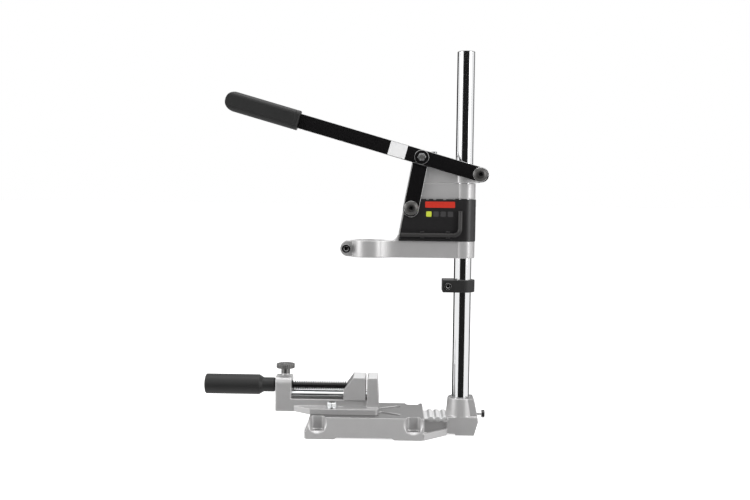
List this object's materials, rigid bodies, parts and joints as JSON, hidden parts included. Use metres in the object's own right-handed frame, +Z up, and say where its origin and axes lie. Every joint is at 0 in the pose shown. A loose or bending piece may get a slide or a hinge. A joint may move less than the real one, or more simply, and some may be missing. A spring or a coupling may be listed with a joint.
{
  "type": "drill stand",
  "caption": "Drill stand: chromed column on a cast base, sprung carriage with a split drill collar, feed lever with two links, depth stop ring and a small machine vice.",
  "frame": {"origin": "on the column's axis, at the bench plane under the base", "axes": "+X to the back of the stand, away from the vice handle and the lever's grip; +Z up along the column; -Y to the side the picture is taken from"},
  "size_m": [0.4035, 0.107, 0.542],
  "materials": {
    "alloy": "as-cast satin",
    "chrome": "polished",
    "bright_steel": "zinc plated",
    "grey_steel": "satin",
    "black_steel": "black lacquer",
    "black_plastic": "fine grain",
    "grip_plastic": "fine grain",
    "bronze": "machined"
  },
  "bodies": {
    "base": {"base_casting": "alloy", "column": "chrome", "column_plug": "black_plastic", "socket_screw": "grey_steel", "vice_body": "alloy", "guide_rods": "bright_steel", "thread_key": "bronze", "vice_bolts": "grey_steel", "vice_washers": "bright_steel", "vice_nuts": "bright_steel"},
    "vice_jaw": {"moving_jaw": "alloy", "jaw_pin": "grey_steel"},
    "vice_spindle": {"vice_screw": "black_steel", "vice_handle": "grip_plastic"},
    "knob": {"lock_knob": "grey_steel"},
    "stop": {"stop_ring": "black_plastic", "stop_ring_screw": "black_steel"},
    "seat": {"spring_seat": "grey_steel", "seat_screw": "black_steel", "return_spring": "bright_steel"},
    "head": {"fulcrum_block": "alloy", "block_set_screw": "black_steel", "lever_stop_screw": "bright_steel", "fulcrum_bolt": "grey_steel", "fulcrum_nut": "grey_steel"},
    "carriage": {"carriage_casting": "alloy", "upper_bush": "bronze", "lower_bush": "bronze", "cover": "black_plastic", "collar_screw": "black_steel", "collar_nut": "grey_steel", "lower_bolt": "grey_steel", "lower_nut": "grey_steel"},
    "lever": {"lever_strip_near": "black_steel", "lever_strip_far": "black_steel", "lever_grip": "grip_plastic", "mid_bolt": "grey_steel", "mid_nut": "bright_steel", "mid_washers": "black_steel", "mid_spacer": "grey_steel"},
    "links": {"link_near": "black_steel", "link_far": "black_steel"},
    "key": {"hex_key": "grey_steel"}
  },
  "joints": [
    {"name": "vice_slide", "type": "slide", "parent": "base", "child": "vice_jaw", "axis": [1, 0, 0], "range_m": [-0.06, 0]},
    {"name": "vice_spin", "type": "hinge", "parent": "vice_jaw", "child": "vice_spindle", "pos_m": [-0.2, 0, 0.0645], "axis": [1, 0, 0], "range_deg": [-6546, 0]},
    {"name": "knob_turn", "type": "hinge", "parent": "base", "child": "knob", "pos_m": [-0.2522, 0, 0.085], "axis": [0, 0, 1], "range_deg": [0, 360]},
    {"name": "stop_slide", "type": "slide", "parent": "base", "child": "stop", "axis": [0, 0, 1], "range_m": [-0.14, 0]},
    {"name": "head_height", "type": "slide", "parent": "base", "child": "seat", "axis": [0, 0, 1], "range_m": [0, 0.14]},
    {"name": "head_swivel", "type": "hinge", "parent": "seat", "child": "head", "pos_m": [0, 0, 0.37], "axis": [0, 0, 1], "range_deg": [-180, 180]},
    {"name": "feed", "type": "slide", "parent": "head", "child": "carriage", "axis": [0, 0, 1], "range_m": [-0.03, 0], "stiffness_N_per_m": 600, "springref_m": 0.05, "deforming": ["return_spring"]},
    {"name": "lever_swing", "type": "hinge", "parent": "head", "child": "lever", "pos_m": [0.0203, 0, 0.3695], "axis": [0, 1, 0], "range_deg": [-20.15, 0]},
    {"name": "link_swing", "type": "hinge", "parent": "carriage", "child": "links", "pos_m": [-0.075, 0, 0.3218], "axis": [0, 1, 0], "range_deg": [-3.15, 0]},
    {"name": "key_pull", "type": "slide", "parent": "carriage", "child": "key", "axis": [0, -1, 0], "range_m": [0, 0.03]}
  ],
  "couplings": [
    {"joint": "vice_spin", "follows": "vice_slide", "rad_per_m": 1904},
    {"joint": "lever_swing", "follows": "feed", "rad_per_m": 11.65},
    {"joint": "link_swing", "follows": "feed", "rad_per_m": 1.8}
  ]
}
